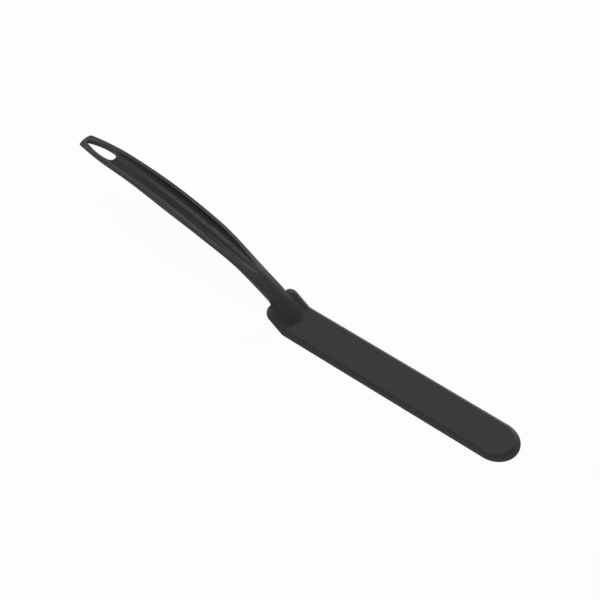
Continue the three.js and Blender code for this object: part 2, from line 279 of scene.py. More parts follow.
class StageSettings(PropertyGroup):
    floor: size("Floor", 40000, "Width of the floor")
    floor_gap: size("Floor gap", 0.05, "Distance of the floor below the blade")
    white: colour("White", (0.7, 0.7, 0.7, 1.0), "Colour of the floor")
    shadow: share("Shadow", 0.06, "How much of the floor's own shading is seen")
    top: number("Top light", 0.59, "Level of the light over the spatula, where 1 shows colours as they are")
    back: number("Back light", 0.45, "Level of the low light behind the spatula")
    front: number("Front light", 0.34, "Level of the low light in front of the spatula")
    side: number("Side light", 0.2, "Level of the light on the handle's side")
    lamp_distance: size("Lamp distance", 1300, "Distance of the lamps from the spatula's middle")
    lamp_width: size("Lamp width", 650, "Width of the round lamps")
    sky: number("Sky", 0.04, "Level of the room's own light")
    lens: number("Lens", 77.16, "Focal length in millimetres on a 36 mm sensor")


class SpatulaSettings(PropertyGroup):
    blade: PointerProperty(type=BladeSettings)
    handle: PointerProperty(type=HandleSettings)
    slot: PointerProperty(type=SlotSettings)
    scoop: PointerProperty(type=ScoopSettings)
    grip: PointerProperty(type=GripSettings)
    finish: PointerProperty(type=FinishSettings)
    stage: PointerProperty(type=StageSettings)


# Small helpers

def lerp(start, end, part):
    """The value a part of the way from start to end."""
    return start + (end - start) * part


def clamped(value):
    """A value kept between 0 and 1."""
    return min(max(value, 0.0), 1.0)


def ease(place, start, end):
    """Rises softly from 0 at start to 1 at end."""
    part = clamped((place - start) / (end - start))
    return part * part * (3 - 2 * part)


def dome(part):
    """Height of a round dome at a part of its reach: 1 in the middle, 0 at its edge and beyond."""
    return math.sqrt(max(1 - part * part, 0.0))


def smooth_run(place, *pairs):
    """A smooth run through (place, value) pairs, level at each pair and outside them."""
    value = pairs[0][1]
    for (start, _), (end, following) in zip(pairs, pairs[1:]):
        value = lerp(value, following, ease(place, start, end))
    return value


def spread(start, end, steps):
    """Evenly spaced values from start to end."""
    return [lerp(start, end, i / steps) for i in range(steps + 1)]


def rounded(start, corner, end, steps):
    """A soft corner from start to end, without its start."""
    points = []
    for part in spread(0, 1, steps)[1:]:
        first = [lerp(a, b, part) for a, b in zip(start, corner)]
        second = [lerp(a, b, part) for a, b in zip(corner, end)]
        points.append(tuple(lerp(a, b, part) for a, b in zip(first, second)))
    return points


def add_node(tree, kind, inputs=(), **options):
    """A new node in a tree. Inputs go by name or number, each as a socket to link or a constant."""
    node = tree.nodes.new(kind)
    for name, value in options.items():
        setattr(node, name, value)
    for key, value in dict(inputs).items():
        if isinstance(value, bpy.types.NodeSocket):
            tree.links.new(value, node.inputs[key])
        else:
            node.inputs[key].default_value = value
    return node


# Node trees that bend and grain the pieces

class Term:
    """A number in a node tree, which can be calculated with like any other number."""

    def __init__(self, rule, socket):
        self.rule = rule
        self.socket = socket

    def __add__(self, other):
        return self.rule.math("ADD", self, other)

    def __sub__(self, other):
        return self.rule.math("SUBTRACT", self, other)

    def __mul__(self, other):
        return self.rule.math("MULTIPLY", self, other)

    def __truediv__(self, other):
        return self.rule.math("DIVIDE", self, other)


class PointRule:
    """A geometry node tree that moves each point of a mesh by a rule with named input values."""

    def __init__(self, name, values):
        self.values = values
        self.tree = bpy.data.node_groups.new(name, "GeometryNodeTree")
        kinds = {"Geometry": "Geometry", **dict.fromkeys(values, "Float"), "Material": "Material"}
        for label, kind in kinds.items():
            self.tree.interface.new_socket(label, in_out="INPUT", socket_type=f"NodeSocket{kind}")
        self.tree.interface.new_socket("Geometry", in_out="OUTPUT", socket_type="NodeSocketGeometry")
        self.start = add_node(self.tree, "NodeGroupInput")
        position = add_node(self.tree, "GeometryNodeInputPosition").outputs[0]
        split = add_node(self.tree, "ShaderNodeSeparateXYZ", {0: position})
        self.position = [Term(self, socket) for socket in split.outputs]
        self.inputs = [Term(self, self.start.outputs[label]) for label in values]

    def math(self, operation, *values):
        sockets = [value.socket if isinstance(value, Term) else value for value in values]
        node = add_node(self.tree, "ShaderNodeMath", enumerate(sockets), operation=operation)
        return Term(self, node.outputs[0])

    def close(self, x, y, z):
        """Moves the points to x, y and z. Gives the ended tree and its input values."""
        tree = self.tree
        geometry = self.start.outputs["Geometry"]
        material = self.start.outputs["Material"]
        place = add_node(tree, "ShaderNodeCombineXYZ", {0: x.socket, 1: y.socket, 2: z.socket}).outputs[0]
        moved = add_node(tree, "GeometryNodeSetPosition", {"Geometry": geometry, "Position": place})
        whole = add_node(tree, "GeometryNodeRealizeInstances", {"Geometry": moved.outputs[0]})
        painting = {"Geometry": whole.outputs[0], "Material": material}
        painted = add_node(tree, "GeometryNodeSetMaterial", painting)
        add_node(tree, "NodeGroupOutput", {"Geometry": painted.outputs[0]})
        return tree, self.values


def heel_rule(tool):
    """Rolls the back of a flat plate up around the bend at x = 0."""
    rule = PointRule("Heel Bend", {
        "Heel Angle": tool.blade.heel_angle,
        "Bend Radius": tool.blade.bend_radius,
        "Thickness": tool.blade.thickness,
        "Blade Length": tool.blade.length,
    })
    x, y, z = rule.position
    heel_angle, bend_radius, thickness, blade_length = rule.inputs
    behind = rule.math("MAXIMUM", x * -1.0, 0.0)
    ahead = rule.math("MAXIMUM", x, 0.0)
    angle = rule.math("MINIMUM", behind / bend_radius, heel_angle)
    beyond = behind - angle * bend_radius
    radius = bend_radius + thickness - z
    sine = rule.math("SINE", angle)
    cosine = rule.math("COSINE", angle)
    bent_x = ahead - radius * sine - beyond * cosine - blade_length * 0.5
    bent_z = thickness + bend_radius - radius * cosine + beyond * sine
    return rule.close(bent_x, y, bent_z)


def arch_rule(tool):
    """Curls a straight handle, laid out along x, onto its arch and the flatter arch of its tail."""
    rule = PointRule("Handle Arch", {
        "Arch Radius": tool.handle.arch_radius,
        "Tail Radius": tool.handle.tail_radius,
        "Tail Start": tail_start(tool),
        "Heel Angle": tool.blade.heel_angle,
        "Neck Rise": tool.handle.neck_rise,
        "Thickness": tool.blade.thickness,
        "Blade Length": tool.blade.length,
    })
    place, y, above = rule.position
    arch, tail, tail_place, heel_angle, rise, thickness, blade_length = rule.inputs
    on_tail = rule.math("GREATER_THAN", place, tail_place)
    past = rule.math("MAXIMUM", place - tail_place, 0.0)
    slope = heel_angle - (place - past) / arch - past / tail
    tail_slope = heel_angle - tail_place / arch
    flatter = (tail - arch) * on_tail
    radius = arch + flatter + above
    drop = rise - arch
    x = drop * rule.math("SINE", heel_angle) - flatter * rule.math("SINE", tail_slope)
    z = thickness + drop * rule.math("COSINE", heel_angle) - flatter * rule.math("COSINE", tail_slope)
    arched_x = x + radius * rule.math("SINE", slope) - blade_length * 0.5
    arched_z = z + radius * rule.math("COSINE", slope)
    return rule.close(arched_x, y, arched_z)


def grain_rule(tool):
    """Raises and lowers the grip's face by a fine grain, where its grain attribute allows."""
    rule = PointRule("Grip Grain", {
        "Grain Size": tool.grip.grain_size,
        "Grain Height": tool.grip.grain_height,
        "Grain Seed": float(tool.grip.grain_seed),
    })
    x, y, z = rule.position
    grain_size, grain_height, grain_seed = rule.inputs
    scale = rule.math("DIVIDE", 1.0, grain_size)
    drawing = {"W": grain_seed.socket, "Scale": scale.socket, "Detail": 2.0}
    noise = add_node(rule.tree, "ShaderNodeTexNoise", drawing, noise_dimensions="4D")
    mask = add_node(rule.tree, "GeometryNodeInputNamedAttribute", {"Name": "grain"}, data_type="FLOAT")
    height = Term(rule, noise.outputs[0]) - 0.5
    return rule.close(x, y, z + height * grain_height * Term(rule, mask.outputs["Attribute"]))


def shape_piece(name, mesh, material, rules):
    """Makes a piece of a mesh by running it through rules, each a node tree and its input values."""
    piece = bpy.data.objects.new(name, mesh)
    bpy.context.scene.collection.objects.link(piece)
    for tree, values in rules:
        modifier = piece.modifiers.new(tree.name, "NODES")
        modifier.node_group = tree
        given = {**values, "Material": material}
        for socket in tree.interface.items_tree:
            if socket.in_out == "INPUT" and socket.name in given:
                modifier[socket.identifier] = given[socket.name]
    evaluated = piece.evaluated_get(bpy.context.evaluated_depsgraph_get())
    shaped = bpy.data.meshes.new_from_object(evaluated)
    piece.modifiers.clear()
    piece.data = shaped
    bpy.data.meshes.remove(mesh)
    shaped.name = name
    shaped.shade_smooth()
    shaped.set_sharp_from_angle(angle=SHARP_ANGLE)
    return piece


def closed_mesh(name, points, faces, marks):
    """A closed mesh with its faces outwards. Marks are point attributes as {name: values}."""
    mesh = bpy.data.meshes.new(name)
    mesh.from_pydata(points, [], faces)
    for label, values in marks.items():
        mesh.attributes.new(label, "FLOAT", "POINT").data.foreach_set("value", values)
    work = bmesh.new()
    work.from_mesh(mesh)
    bmesh.ops.recalc_face_normals(work, faces=work.faces)
    open_edges = [edge for edge in work.edges if not edge.is_manifold]
    work.to_mesh(mesh)
    work.free()
    if open_edges:
        raise RuntimeError(f"{name} isn't closed: {len(open_edges)} open edges")
    return mesh


def keep_piece(piece, node):
    """Hides the solid that a piece stands for, and hangs the piece on its body."""
    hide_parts(node)
    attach(piece, BODY)


# Blade

def plate_outline(blade, inset):
    """The flat plate's outline, drawn in by an inset, from the heel's middle round by the tip."""
    half = blade.width / 2
    side = [(inset - blade.heel_length, 0.0)]
    corner_x = blade.heel_corner - blade.heel_length
    corner_y = half - blade.heel_corner
    corner_radius = blade.heel_corner - inset
    for turn in spread(0, math.pi / 2, OUTLINE_STEPS):
        side.append((corner_x - corner_radius * math.cos(turn), corner_y + corner_radius * math.sin(turn)))
    for x in spread(-blade.bend_radius * blade.heel_angle, 0, BEND_STEPS):
        side.append((x, half - inset))
    tip_start = blade.length - blade.tip_length
    for x in spread(0, tip_start, SIDE_STEPS)[1:-1]:
        side.append((x, half - inset))
    tip_reach = blade.tip_length - inset * blade.tip_bevel / blade.bevel_width
    for turn in spread(math.pi / 2, 0, OUTLINE_STEPS):
        side.append((tip_start + tip_reach * math.cos(turn), (half - inset) * math.sin(turn)))
    side[-1] = (side[-1][0], 0.0)
    return side + [(x, -y) for x, y in reversed(side[1:-1])]


def bevel_rise(blade, part):
    """Rise of the hollowed bevel at a part of its width, from 0 at the edge to 1 at the flat top."""
    return part - blade.bevel_hollow * math.sin(part * math.pi)


def plate_profile(blade):
    """The plate's edge as (inset, height, wear), from its underside up over the bevel to its flat top."""
    lip = blade.edge_round
    crest = blade.crest_round

    def bevel(part):
        return blade.bevel_width * part, lerp(blade.edge, blade.thickness, bevel_rise(blade, part))

    first = lip / blade.bevel_width
    last = 1 - crest / blade.bevel_width
    upright = (0.0, blade.edge - lip / 2)
    flat = (blade.bevel_width + crest, blade.thickness)
    profile = [(2 * lip, 0.0, 0.0), (lip, 0.0, 0.0)]
    profile += [(*point, LIP_WEAR) for point in rounded((lip, 0), (0, 0), (0, lip), FILLET_STEPS)]
    profile.append((*upright, LIP_WEAR))
    edge = rounded(upright, (0, blade.edge), bevel(first), FILLET_STEPS)
    profile += [(*point, EDGE_WEAR) for point in edge]
    profile += [(*bevel(part), BEVEL_WEAR * (1 - part)) for part in spread(first, last, BEVEL_STEPS)[1:]]
    profile += [(*point, 0.0) for point in rounded(bevel(last), bevel(1), flat, FILLET_STEPS)]
    profile.append((flat[0] + crest, blade.thickness, 0.0))
    return profile


def plate_mesh(blade):
    """The blade as a flat plate: its outline drawn in along the edge's profile, closed above and below."""
    points = []
    wear_and_highlight = []
    profile = plate_profile(blade)
    for inset, height, worn_and_lit in profile:
        outline = plate_outline(blade, inset)
        points += [(x, y, height) for x, y in outline]
        wear_and_highlight += [worn_and_lit] * len(outline)
    count = len(outline)
    faces = []
    for layer in range(len(profile) - 1):
        for i in range(count):
            a = layer * count + i
            b = layer * count + (i + 1) % count
            faces.append((a, b, b + count, a + count))
    for base in (0, len(points) - count):
        for i in range(count // 2):
            corners = [base + i, base + i + 1, base + count - i - 1, base + (count - i) % count]
            faces.append(tuple(dict.fromkeys(corners)))
    return closed_mesh("blade", points, faces, {"edge_wear_and_highlight": wear_and_highlight})


# Handle, laid out straight: x is the place along the arch, z the height above the line of the edges

def slot_end(tool):
    """Place of the slot's tip."""
    return tool.handle.length - tool.slot.from_end


def slot_start(tool):
    """Place of the slot's round front."""
    return slot_end(tool) - tool.slot.length


def slot_widest(tool):
    """Place where the slot is widest."""
    return slot_start(tool) + tool.slot.front


def grip_end(tool):
    """Place of the grip's end, before the slot."""
    return slot_start(tool) - tool.grip.land


def tail_start(tool):
    """Place where the handle starts to taper."""
    return tool.handle.length - tool.handle.tail_length


def nose_fade(tool, place):
    """Share of its width that the handle has at its round nose."""
    handle = tool.handle
    return dome(clamped((handle.nose_round - place) / (handle.nose_round + handle.nose_reach)))


def body_half_width(tool, place):
    """Half width of the handle as if its nose weren't round."""
    handle = tool.handle
    width = smooth_run(
        place,
        (handle.neck_length, handle.neck_width),
        (handle.grip_start, handle.grip_width),
        (handle.grip_middle, handle.grip_width),
        (tail_start(tool), handle.grip_end_width),
    )
    along_tail = max(place - tail_start(tool), 0.0) / handle.tail_length
    taper = (handle.grip_end_width - handle.tail_width) * along_tail ** 2
    return (width - taper) / 2


def half_width(tool, place):
    """Half width of the handle."""
    return body_half_width(tool, place) * nose_fade(tool, place)


def top_height(tool, place, y):
    """Height of the crowned top, before scoop and slot are taken out of it."""
    handle = tool.handle
    crown = smooth_run(
        place,
        (handle.neck_length, handle.neck_crown),
        (handle.shoulder_at, handle.rim_crown),
        (tail_start(tool), handle.rim_crown),
        (slot_widest(tool), handle.tail_crown),
        (handle.length, handle.rim_crown),
    )
    across = y / body_half_width(tool, place)
    down = clamped((handle.nose_slope - place) / (handle.nose_slope + handle.nose_reach))
    middle = crown * ease(place, -handle.nose_reach, handle.nose_crown) - handle.nose_drop * down * down
    edge = -handle.nose_fall * (1 - ease(place, -handle.nose_reach, handle.nose_slope))
    return lerp(middle, edge, across * across) - tip_dip(tool, place, y)


def tip_dip(tool, place, y):
    """Depth of the shallow valley that the slot's tip runs out in."""
    slot = tool.slot
    deepest = slot_end(tool)
    along = ease(place, deepest - slot.dip_lead, deepest) - max(place - deepest, 0.0) / slot.dip_run
    return slot.dip_depth * max(along - abs(y) / slot.dip_reach, 0.0)


def along_handle(tool, place, values):
    """A size that runs through its values at the neck, the shoulder, the grip, the slot and the end."""
    handle = tool.handle
    marks = (handle.neck_length, handle.shoulder_at, handle.grip_middle, slot_start(tool), handle.length)
    return smooth_run(place, *zip(marks, values))


def under_height(tool, place, y):
    """Height of the underside, which is round below upright sides."""
    handle = tool.handle
    slot = tool.slot
    heights = (handle.neck_side, handle.shoulder_side, handle.grip_side, slot.side, handle.tail_side)
    depths = (handle.neck_belly, handle.shoulder_belly, handle.grip_belly, slot.belly, handle.tail_belly)
    belly = along_handle(tool, place, depths) * dome(y / half_width(tool, place))
    return -along_handle(tool, place, heights) - belly


def scoop_half_width(tool, place):
    """Half width of the scoop, which runs over into that of the slot."""
    before = max(tool.scoop.start + tool.scoop.lead - place, 0.0) / tool.scoop.lead
    widening = (half_width(tool, place) - tool.scoop.rim) * dome(before)
    return lerp(widening, tool.slot.width / 2, ease(place, tail_start(tool), slot_widest(tool)))


def inner_half_width(tool, place):
    """Half the distance between the rims: the scoop's, then the slot's, then that of the ramp behind it."""
    narrowest = tool.slot.ramp_width / 2
    if place <= slot_widest(tool):
        return max(scoop_half_width(tool, place), narrowest)
    if place >= slot_end(tool):
        return narrowest
    full = tool.slot.fullness
    along = (place - slot_widest(tool)) / (slot_end(tool) - slot_widest(tool))
    part = (full - math.sqrt(full * full - (2 * full - 1) * along)) / (2 * full - 1)
    return lerp(tool.slot.width / 2, narrowest, part * part)


def scoop_floor(tool, place):
    """Depth of the scoop along its middle."""
    scoop = tool.scoop
    before = clamped((scoop.start + scoop.ramp - place) / scoop.ramp)
    full = smooth_run(place, (tool.handle.grip_middle, scoop.depth), (slot_start(tool), scoop.end_depth))
    return full * (1 - before * before)


def scoop_hollow(tool, place, y):
    """Depth of the scoop below the handle's top."""
    across = min(abs(y) / inner_half_width(tool, place), 1.0)
    return scoop_floor(tool, place) * (1 - across ** tool.scoop.fullness) ** tool.scoop.wall


def pocket_depth(tool, place):
    """Depth of the grip's pocket below the scoop's floor."""
    return tool.grip.pocket * min(1.0, scoop_floor(tool, place) / tool.scoop.end_depth)


def ramp_hollow(tool, place, y):
    """Depth of the groove that runs up from the slot's tip to the handle's end."""
    top = tool.handle.length - tool.slot.ramp_from_end
    along = min((place - slot_end(tool)) / (top - slot_end(tool)), 1.0)
    floor = lerp(-tool.slot.ramp_depth, tool.handle.rim_crown, along)
    return max(top_height(tool, place, y) - floor, 0.0)


def rim_drop(tool, place):
    """How far the rims' inner rounding falls, which is little where the scoop is shallow."""
    if slot_widest(tool) < place < slot_end(tool):
        return tool.handle.rim_round
    hollow = ramp_hollow(tool, place, 0) if place >= slot_end(tool) else scoop_floor(tool, place)
    return min(tool.handle.rim_round, hollow * LARGEST_ROUND)


def rim_rise(tool, place):
    """Height of the rims' inner edges above the handle's plain top."""
    start = tool.scoop.start
    onto_scoop = ease(place, start, start + tool.scoop.lead)
    past_scoop = ease(place, tail_start(tool), slot_widest(tool))
    return tool.handle.rim_slope * (onto_scoop * (1 - past_scoop))


def seat_height(tool, place):
    """Lowest height that the blade under the handle leaves free."""
    blade = tool.blade
    handle = tool.handle
    edge = blade.heel_length
    if place > edge:
        return -math.inf
    centre_height = blade.thickness + (handle.neck_rise - handle.arch_radius) * math.cos(blade.heel_angle)
    level = blade.thickness - handle.seat_depth - centre_height
    over_blade = level / math.cos(blade.heel_angle - place / handle.arch_radius) - handle.arch_radius
    rise = handle.neck_rise + blade.bend_radius * (1 - math.cos(blade.heel_angle))
    level = handle.arch_radius - rise - handle.seat_depth
    over_heel = level / math.cos(place / handle.arch_radius) - handle.arch_radius
    part = clamped((edge - place) / blade.bevel_width)
    return max(over_blade, over_heel) - (blade.thickness - blade.edge) * (1 - bevel_rise(blade, part))


def free_top(tool, place, y):
    """Height of the top, kept a hair above the blade under it."""
    return max(top_height(tool, place, y), seat_height(tool, place) + HAIR)


def free_under(tool, place, y):
    """Height of the underside, cut off where the blade lies under it."""
    return max(under_height(tool, place, y), seat_height(tool, place))


def foot_lean(tool, place):
    """How far the neck's sides have turned from upright, 0, to the slope that they have on the heel, 1."""
    end = tool.blade.heel_length
    return 1 - ease(place, end - tool.handle.foot_lead, end + tool.handle.foot_fade)


def foot_half_width(tool, place):
    """Half width of the foot of the sides, which spreads where they lean out onto the heel."""
    return half_width(tool, place) + tool.handle.foot_spread * foot_lean(tool, place) * nose_fade(tool, place)


def top_half_width(tool, place):
    """Half width of the top inside its rounded outer edges."""
    half = half_width(tool, place)
    edge_round = lerp(tool.handle.edge_round, tool.handle.foot_round, foot_lean(tool, place))
    return half - min(edge_round, half * LARGEST_ROUND)


def row_place(tool, station, y):
    """Place of a row's point. Rows bow back at the sides as they near the slot's round front."""
    if station > slot_start(tool):
        return station
    half = tool.slot.width / 2
    land = tool.grip.land
    early = (tool.slot.front + land) * (1 - dome(y / (half + 2 * land)))
    if station <= grip_end(tool):
        return station + early * ease(station, grip_end(tool) - tool.slot.width, grip_end(tool))
    late = tool.slot.front * (1 - dome(y / half))
    return station + lerp(early, late, (station - grip_end(tool)) / land)


def row_edge(tool, station):
    """Place where a row meets the rims, and half the distance between the rims there."""
    place = station
    inner = inner_half_width(tool, place)
    for _ in range(EDGE_ROUNDS):
        place = row_place(tool, station, inner)
        inner = inner_half_width(tool, place)
    return place, inner


def inner_columns(tool, inner):
    """Distances from the middle of the columns between the rims, from a rim to the middle."""
    foot = inner - tool.handle.wall_draft
    wall = spread(inner, foot, WALL_STEPS)
    turns = spread(0, math.pi / 2, FLOOR_STEPS)
    return wall + [foot * math.cos(turn) for turn in turns[1:-1]] + [0.0]


def under_points(tool, station, place, columns):
    """Underside of a half row as (y, height, wear), from its middle to the foot of the side."""
    half = half_width(tool, place)
    foot = foot_half_width(tool, place)
    points = [(y, free_under(tool, row_place(tool, station, y), y), 0.0) for y in reversed(columns)]
    for turn in spread(math.acos(columns[0] / half), 0, BELLY_STEPS)[1:]:
        across = math.cos(turn)
        points.append((across * foot, free_under(tool, place, across * half), 0.0))
    return points


def side_points(tool, place, foot_height):
    """Side of a half row as (y, height, wear), from its foot up over its rounded edge."""
    handle = tool.handle
    half = half_width(tool, place)
    foot = foot_half_width(tool, place)
    over = top_half_width(tool, place)
    lean = foot_lean(tool, place)
    edge_top = free_top(tool, place, half)
    over_top = free_top(tool, place, over)
    drop = min(handle.edge_round, SIDE_ROUND * (edge_top - foot_height))
    upright = [(half, height, 0.0) for height in spread(foot_height, edge_top - drop, FOOT_STEPS)[1:]]
    edge = rounded(upright[-1][:2], (half, edge_top), (over, over_top), FILLET_STEPS)
    for i, point in enumerate(edge):
        on_grip = ease(place, handle.neck_length, handle.grip_start) if i < FILLET_STEPS // 2 else 1.0
        within = 0 < i < FILLET_STEPS - 1
        upright.append((*point, SIDE_WEAR * on_grip * within))
    points = []
    for i, (y, height, wear_and_highlight) in enumerate(upright):
        up = (i + 1) / len(upright)
        leaning_y = lerp(foot, over, up)
        leaning_height = lerp(foot_height, over_top, up ** handle.foot_hollow)
        points.append((lerp(y, leaning_y, lean), lerp(height, leaning_height, lean), wear_and_highlight * (1 - lean)))
    return points


def rim_points(tool, place, inner):
    """Rim of a half row as (y, height, wear), from its outer edge over its rounded inner edge."""
    over = top_half_width(tool, place)
    rise = rim_rise(tool, place)
    rim_edge = inner + min(tool.handle.rim_round, (over - inner) * LARGEST_ROUND)
    beside_scoop = 1.0 if place > tool.scoop.start else 0.0
    points = []
    for y in spread(over, rim_edge, RIM_STEPS)[1:]:
        height = free_top(tool, place, y) + rise * (over - y) / (over - inner)
        # Painted highlight: the rims beside the scoop are painted paler along their inner edges.
        rubbed_and_lit = beside_scoop if y < rim_edge + tool.handle.highlight_line_width else 0.0
        # Painted highlight: the valley at the slot's tip is painted paler, more where the valley is deeper.
        valley_highlight = min(VALLEY_HIGHLIGHT * tip_dip(tool, place, y) / tool.slot.dip_depth, 1.0)
        points.append((y, height, max(rubbed_and_lit, valley_highlight)))
    top = free_top(tool, place, inner) + rise
    edge = rounded(points[-1][:2], (inner, top), (inner, top - rim_drop(tool, place)), FILLET_STEPS)
    # The rounded inner edge beside the scoop carries the same painted highlight, which also gives the bright
    # crescent at the scoop's front.
    return points + [(*point, beside_scoop) for point in edge]


def floor_points(tool, station, place, columns):
    """Wall and floor inside the rim of a half row as (y, height, wear), down to its middle."""
    fall = rim_drop(tool, place)
    points = []
    for i, y in enumerate(columns[1:]):
        inner_place = row_place(tool, station, y)
        across = min(y / columns[WALL_STEPS], 1.0)
        down = min((i + 1) / WALL_STEPS, 1.0)
        hollow = floor_hollow(tool, station, inner_place, across, fall)
        height = free_top(tool, inner_place, y) + lerp(rim_rise(tool, place) - fall, -hollow, down)
        points.append((y, height, 0.0))
    return points


def handle_half_row(tool, station):
    """Right half of a cross-section as (place, y, height, wear), from the belly's middle to the top's."""
    place, inner = row_edge(tool, station)
    columns = inner_columns(tool, inner)
    points = under_points(tool, station, place, columns)
    points += side_points(tool, place, points[-1][1])
    points += rim_points(tool, place, inner)
    points += floor_points(tool, station, place, columns)
    return [(row_place(tool, station, min(y, inner)), y, height, wear_and_highlight) for y, height, wear_and_highlight in points]


def floor_hollow(tool, station, place, across, least):
    """Depth of the floor between the rims: the pocket's, the land's before the slot, or the ramp's."""
    y = across * inner_half_width(tool, place)
    if station >= slot_end(tool):
        return max(ramp_hollow(tool, place, y) * (1 - across * across), least)
    hollow = scoop_hollow(tool, place, y)
    if tool.scoop.start + tool.grip.lead < station <= grip_end(tool):
        hollow += pocket_depth(tool, place)
    return max(hollow, least)


def stations_along(*marks):
    """Stations through marks, each a place and the steps to the next mark, without the first place."""
    stations = []
    for (start, steps), (end, _) in zip(marks, marks[1:]):
        stations += spread(start, end, steps)[1:]
    return stations


def handle_stations(tool):
    """Stations of the rows before the slot, beside it and behind it."""
    heel = tool.blade.heel_length
    nose_start = tool.handle.nose_round
    nose_length = nose_start + tool.handle.nose_reach
    nose = [nose_start + nose_length * math.sin(turn) for turn in spread(NOSE_TURN, 0, NOSE_STEPS)]
    front = tool.scoop.start + tool.grip.lead
    before = stations_along(
        (nose_start, 12),
        (heel - tool.blade.bevel_width, 8),
        (heel, 1),
        (heel + STEP, 14),
        (tool.scoop.start, 2),
        (front, 1),
        (front + STEP, 22),
        (front + FRONT_LENGTH, 90),
        (grip_end(tool), 1),
        (grip_end(tool) + STEP, 6),
        (slot_start(tool), 0),
    )
    beside = spread(slot_widest(tool), slot_end(tool), SLOT_STEPS)[1:-1]
    behind = spread(slot_end(tool), tool.handle.length - tool.handle.edge_round, END_STEPS)
    return nose + before, beside, behind


def end_rows(tool):
    """Rows of the rounded hanging end as (station, inset, share of the section), down to its middle."""
    end = tool.handle.length
    edge_round = tool.handle.edge_round
    rows = []
    for turn in spread(0, math.pi / 2, FILLET_STEPS)[1:]:
        station = end - edge_round + edge_round * math.sin(turn)
        rows.append((station, edge_round * (1 - math.cos(turn)), 1.0))
    return rows + [(end, edge_round, part) for part in END_SHARES]


def shrunk(row, inset, part):
    """A half row drawn in by an inset and then towards its middle."""
    heights = [height for _, _, height, _ in row]
    widths = [y for _, y, _, _ in row]
    middle = (max(heights) + min(heights)) / 2
    tall = (max(heights) - min(heights)) / 2
    wide = max(widths)
    across = (1 - inset / wide) * part
    upright = (1 - inset / tall) * part
    return [(place, y * across, lerp(middle, height, upright), wear_and_highlight) for place, y, height, wear_and_highlight in row]


def bulged(tool, place, y):
    """The place of a point after the hanging end's bulge."""
    bulge = tool.handle.tail_bulge * ease(place, slot_end(tool) - tool.slot.length / 2, tool.handle.length)
    return place - bulge * (y / half_width(tool, place)) ** 2


def handle_mesh(tool):
    """The handle, laid out straight: rows of points across it, with the slot left open and then walled."""
    before, beside, behind = handle_stations(tool)
    rows = [handle_half_row(tool, station) for station in before + beside + behind]
    rows += [shrunk(handle_half_row(tool, station), inset, part) for station, inset, part in end_rows(tool)]
    last = len(rows[0]) - 1
    low_rim = len(inner_columns(tool, tool.slot.width / 2)) - 1
    high_rim = last - low_rim
    bars = range(len(before), len(before) + len(beside))
    points = []
    wear_and_highlight = []
    grid = {}

    def add(place, y, height, worn_and_lit):
        points.append((bulged(tool, place, y), y, height))
        wear_and_highlight.append(worn_and_lit)
        return len(points) - 1

    for r, row in enumerate(rows):
        for c, (place, y, height, worn_and_lit) in enumerate(row):
            if r in bars and not low_rim <= c <= high_rim:
                continue
            grid[r, c, 1] = add(place, y, height, worn_and_lit)
            grid[r, c, -1] = add(place, -y, height, worn_and_lit) if 0 < c < last else grid[r, c, 1]
    faces = []
    for r in range(len(rows) - 1):
        for c in range(last):
            for side in (1, -1):
                corners = [(r, c, side), (r, c + 1, side), (r + 1, c + 1, side), (r + 1, c, side)]
                if all(corner in grid for corner in corners):
                    faces.append(tuple(grid[corner] for corner in corners))
    for r in (0, len(rows) - 1):
        right = [grid[r, c, 1] for c in range(last + 1)]
        left = [grid[r, c, -1] for c in range(last - 1, 0, -1)]
        faces.append(tuple(right + left))
    faces += slot_walls(grid, points, wear_and_highlight, bars, low_rim, last)
    return closed_mesh("handle", points, faces, {"edge_wear_and_highlight": wear_and_highlight})


def slot_walls(grid, points, wear_and_highlight, bars, low_rim, last):
    """Faces of the slot's upright wall, from the edge of its top to the edge of its underside."""
    front = bars[0] - 1
    tip = bars[-1] + 1
    around = [(front, c) for c in range(low_rim + 1)]
    around += [(r, low_rim) for r in bars]
    around += [(tip, c) for c in range(low_rim, -1, -1)]
    faces = []
    for side in (1, -1):
        columns = []
        for r, c in around:
            low = grid[r, c, side]
            high = grid[r, last - c, side]
            column = [low]
            for part in spread(0, 1, SLOT_LEVELS)[1:-1]:
                key = (r, c, side if c else 1, part)
                if key not in grid:
                    points.append(tuple(lerp(a, b, part) for a, b in zip(points[low], points[high])))
                    wear_and_highlight.append(0.0)
                    grid[key] = len(points) - 1
                column.append(grid[key])
            columns.append(column + [high])
        for one, two in zip(columns, columns[1:]):
            for level in range(SLOT_LEVELS):
                faces.append((one[level], two[level], two[level + 1], one[level + 1]))
    return faces


# Grip

